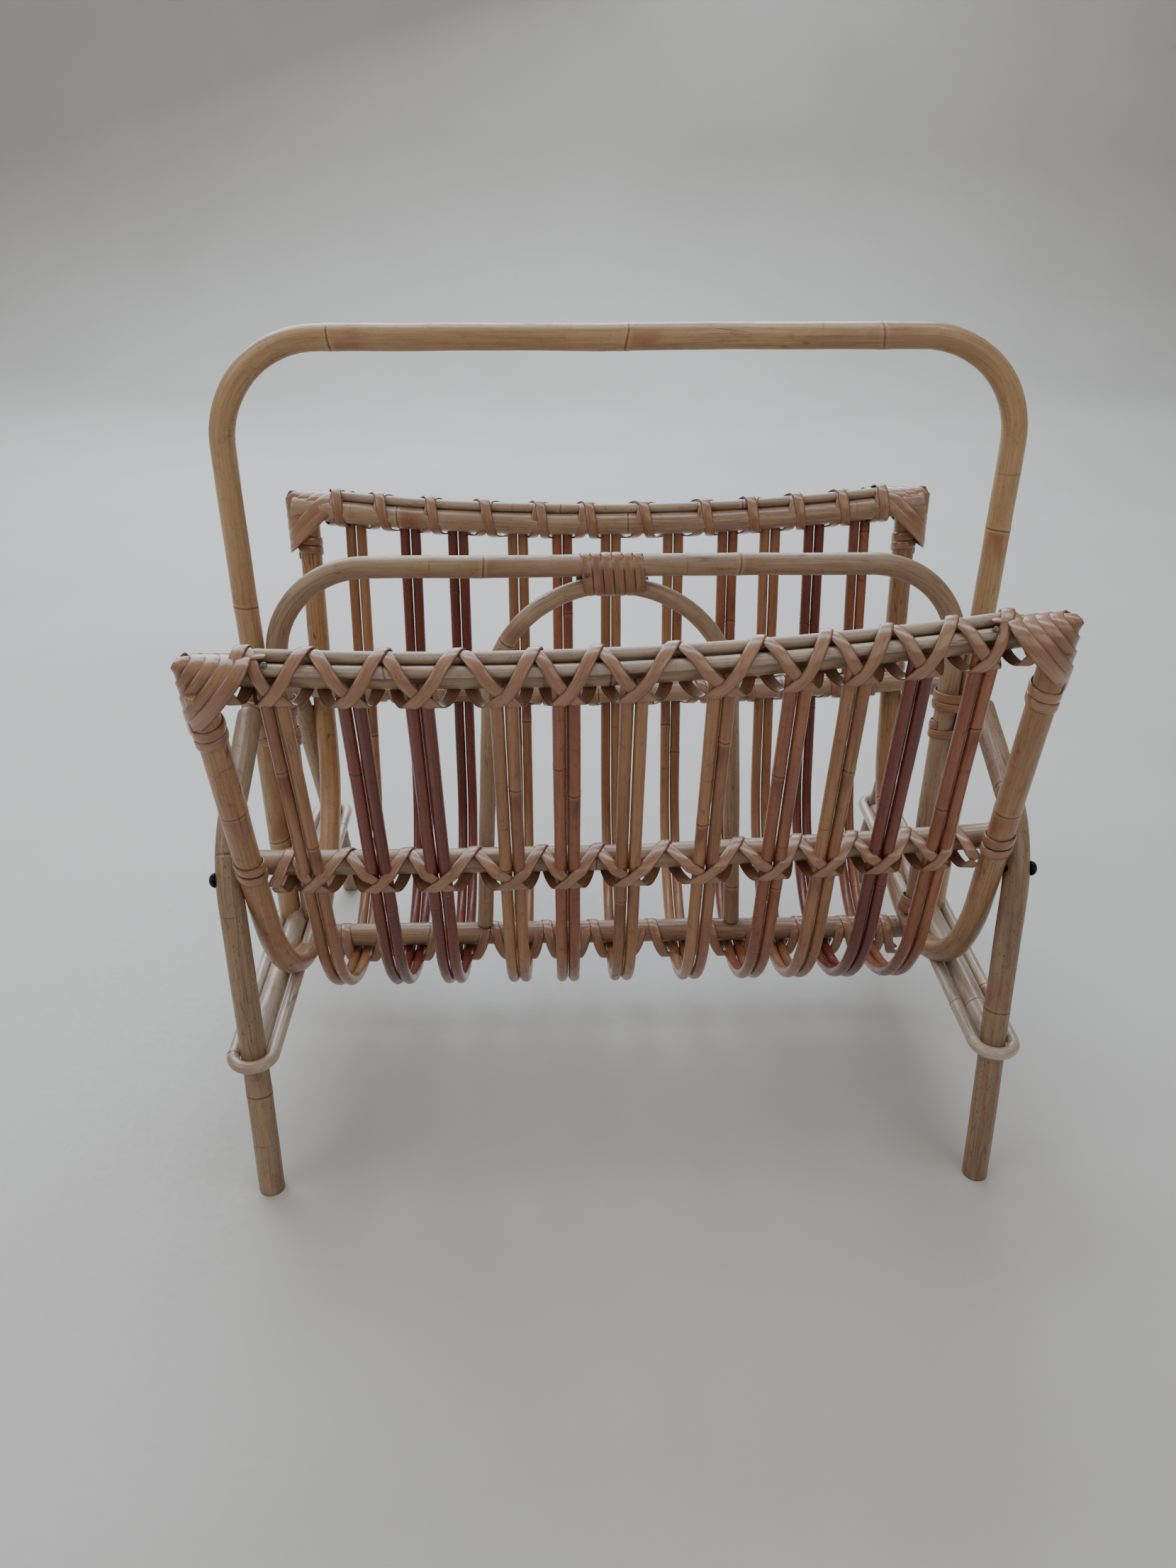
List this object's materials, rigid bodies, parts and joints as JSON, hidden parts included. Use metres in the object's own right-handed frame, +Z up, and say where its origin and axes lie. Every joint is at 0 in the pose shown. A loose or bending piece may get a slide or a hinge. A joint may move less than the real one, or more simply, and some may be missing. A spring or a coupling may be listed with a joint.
{
  "type": "magazine rack",
  "caption": "Rattan magazine rack: a U-shaped trough of paired slats lashed with cane, with a divider, splayed legs and a carrying hoop.",
  "frame": {"origin": "on the floor, under the middle of the rack", "axes": "+X along the rails to the right, +Y from front to back, +Z up"},
  "size_m": [0.4384, 0.3184, 0.4365],
  "materials": {
    "pole_golden": "satin natural rattan, golden",
    "pole_brown": "satin natural rattan, brown",
    "pole_weathered": "satin rattan, greyed and worn",
    "slat_tan": "glossy thin rattan rod, tan",
    "slat_brown": "glossy thin rattan rod, red-brown",
    "slat_plum": "glossy thin rattan rod, dark purple-brown",
    "cane": "satin peeled cane strip, pinkish tan",
    "screw_black": "semi-gloss black",
    "tack_steel": "dull steel"
  },
  "bodies": {
    "root": {"handle_hoop": "pole_golden", "divider_hoop": "pole_golden", "center_arch": "pole_golden", "end_frame_left": "pole_brown", "end_frame_right": "pole_golden", "leg_front_left": "pole_weathered", "leg_front_right": "pole_weathered", "leg_back_left": "pole_weathered", "leg_back_right": "pole_weathered", "stretcher_left": "pole_weathered", "stretcher_right": "pole_weathered", "stretcher_loop_left": "pole_weathered", "stretcher_loop_right": "pole_weathered", "bottom_rail": "pole_weathered", "mid_rail_front": "pole_weathered", "mid_rail_back": "pole_weathered", "top_rail_front": "pole_weathered", "top_rail_back": "pole_weathered", "cap_strips_front": "pole_weathered", "cap_strips_back": "pole_weathered", "slat_pair_01": "slat_tan", "slat_pair_02": "slat_plum", "slat_pair_03": "slat_plum", "slat_pair_04": "slat_tan", "slat_pair_05": "slat_brown", "slat_pair_06": "slat_tan", "slat_pair_07": "slat_tan", "slat_pair_08": "slat_brown", "slat_pair_09": "slat_tan", "slat_pair_10": "slat_plum", "slat_pair_11": "slat_brown", "lashing_top_front": "cane", "lashing_top_back": "cane", "lashing_mid_front": "cane", "lashing_mid_back": "cane", "lashing_bottom": "cane", "corner_wrap_front_left": "cane", "corner_wrap_front_right": "cane", "corner_wrap_back_left": "cane", "corner_wrap_back_right": "cane", "post_wrap_front_left": "cane", "post_wrap_front_right": "cane", "post_wrap_back_left": "cane", "post_wrap_back_right": "cane", "handle_wrap_left": "cane", "handle_wrap_right": "cane", "foot_wrap_left": "cane", "foot_wrap_right": "cane", "arch_wrap": "cane", "leg_screws": "screw_black", "tacks": "tack_steel"}
  },
  "joints": []
}
